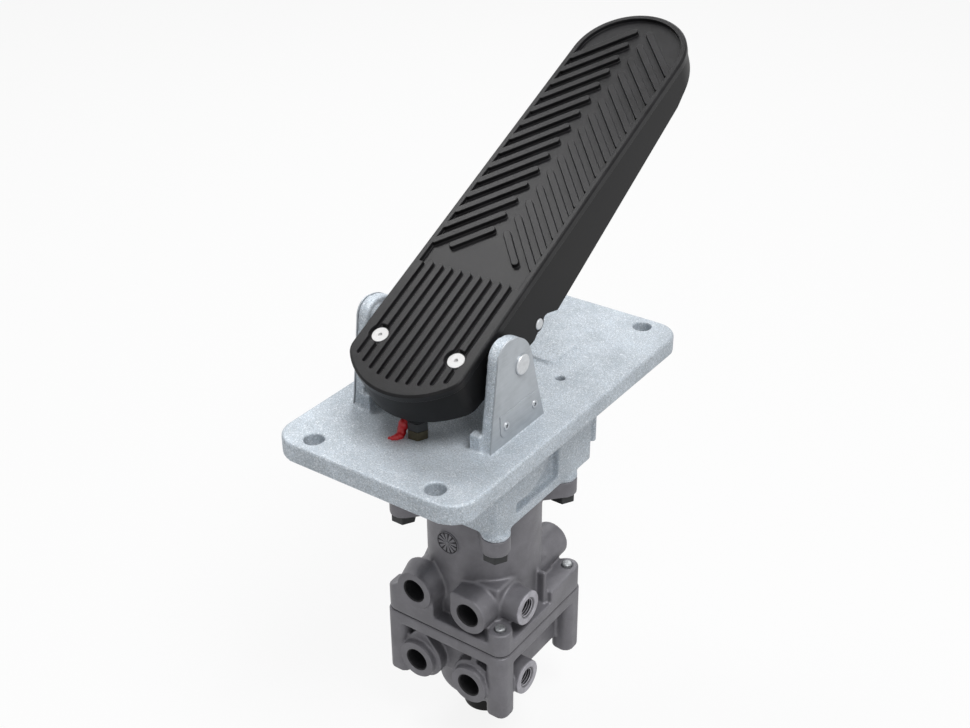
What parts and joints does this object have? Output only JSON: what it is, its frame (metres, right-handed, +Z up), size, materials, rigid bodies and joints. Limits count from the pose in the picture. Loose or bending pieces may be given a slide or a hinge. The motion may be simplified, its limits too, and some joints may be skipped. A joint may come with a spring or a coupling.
{
  "type": "truck foot brake valve",
  "caption": "Floor-mounted truck foot brake valve: long treadle on a cast plate, over a two-circuit air valve with open ports.",
  "frame": {"origin": "centre of the floor plate's underside, amid its four bolt holes", "axes": "+Z up, away from the floor; +Y from the heel to the toe end of the treadle; +X across it"},
  "size_m": [0.156, 0.365, 0.5037],
  "materials": {
    "cast_plate": "rough cast",
    "cast_valve": "satin cast",
    "cover_plate": "satin",
    "bright_steel": "bright",
    "black_steel": "matt black",
    "olive_steel": "olive passivated",
    "black_plastic": "matt",
    "black_rubber": "matt",
    "bronze": "plain",
    "piston_metal": "turned",
    "spring_steel": "plain",
    "red_lacquer": "gloss"
  },
  "bodies": {
    "housing": {"mounting_casting": "cast_plate", "left_ear_cover": "cover_plate", "right_ear_cover": "cover_plate", "ear_rivets": "bright_steel", "pivot_pin": "bright_steel", "pin_clip": "bright_steel", "stop_screw": "black_steel", "stop_nut": "olive_steel", "seal_lacquer": "red_lacquer", "guide_bush": "bronze", "tappet_boot": "black_rubber", "flange_bolts": "black_steel", "upper_valve_body": "cast_valve", "lower_valve_body": "cast_valve", "body_gasket": "black_rubber", "body_screws": "bright_steel", "retaining_ring": "spring_steel", "exhaust_silencer": "black_plastic", "primary_return_spring": "spring_steel", "primary_valve_spring": "spring_steel", "primary_retainer": "piston_metal", "secondary_return_spring": "spring_steel", "secondary_valve_spring": "spring_steel", "secondary_retainer": "piston_metal"},
    "pedal": {"treadle_body": "black_plastic", "tread_pad": "black_rubber", "pad_screws": "bright_steel", "pivot_bushes": "bronze", "roller_pin": "bright_steel", "stop_buffer": "black_rubber"},
    "roller": {"roller": "bright_steel"},
    "tappet": {"tappet": "bright_steel"},
    "primary_piston": {"primary_piston": "piston_metal", "primary_seal": "black_rubber", "graduating_block": "black_rubber"},
    "primary_valve": {"primary_valve": "bronze"},
    "secondary_piston": {"secondary_piston": "piston_metal", "secondary_seal": "black_rubber"},
    "secondary_valve": {"secondary_valve": "bronze"}
  },
  "joints": [
    {"name": "pedal_pivot", "type": "hinge", "parent": "housing", "child": "pedal", "pos_m": [0, -0.046, 0.0663], "axis": [-1, 0, 0], "range_deg": [0, 18], "stiffness_Nm_per_rad": 60, "springref_deg": -11.46},
    {"name": "roller_spin", "type": "hinge", "parent": "pedal", "child": "roller", "pos_m": [0, -0.00503, 0.07342], "axis": [1, 0, 0], "continuous": true},
    {"name": "tappet_slide", "type": "slide", "parent": "housing", "child": "tappet", "axis": [0, 0, -1], "range_m": [0, 0.0132], "deforming": ["tappet_boot", "graduating_block"]},
    {"name": "primary_piston_slide", "type": "slide", "parent": "housing", "child": "primary_piston", "axis": [0, 0, -1], "range_m": [0, 0.0062], "deforming": ["primary_return_spring"]},
    {"name": "primary_valve_slide", "type": "slide", "parent": "housing", "child": "primary_valve", "axis": [0, 0, -1], "range_m": [0, 0.0044], "deforming": ["primary_valve_spring"]},
    {"name": "secondary_piston_slide", "type": "slide", "parent": "housing", "child": "secondary_piston", "axis": [0, 0, -1], "range_m": [0, 0.0052], "deforming": ["secondary_return_spring"]},
    {"name": "secondary_valve_slide", "type": "slide", "parent": "housing", "child": "secondary_valve", "axis": [0, 0, -1], "range_m": [0, 0.0034], "deforming": ["secondary_valve_spring"]}
  ],
  "couplings": [
    {"joint": "tappet_slide", "follows": "pedal_pivot", "m_per_rad": 0.04138},
    {"joint": "primary_piston_slide", "follows": "pedal_pivot", "m_per_rad": 0.019099},
    {"joint": "primary_valve_slide", "follows": "pedal_pivot", "m_per_rad": 0.013369},
    {"joint": "secondary_piston_slide", "follows": "pedal_pivot", "m_per_rad": 0.015915},
    {"joint": "secondary_valve_slide", "follows": "pedal_pivot", "m_per_rad": 0.010186}
  ]
}
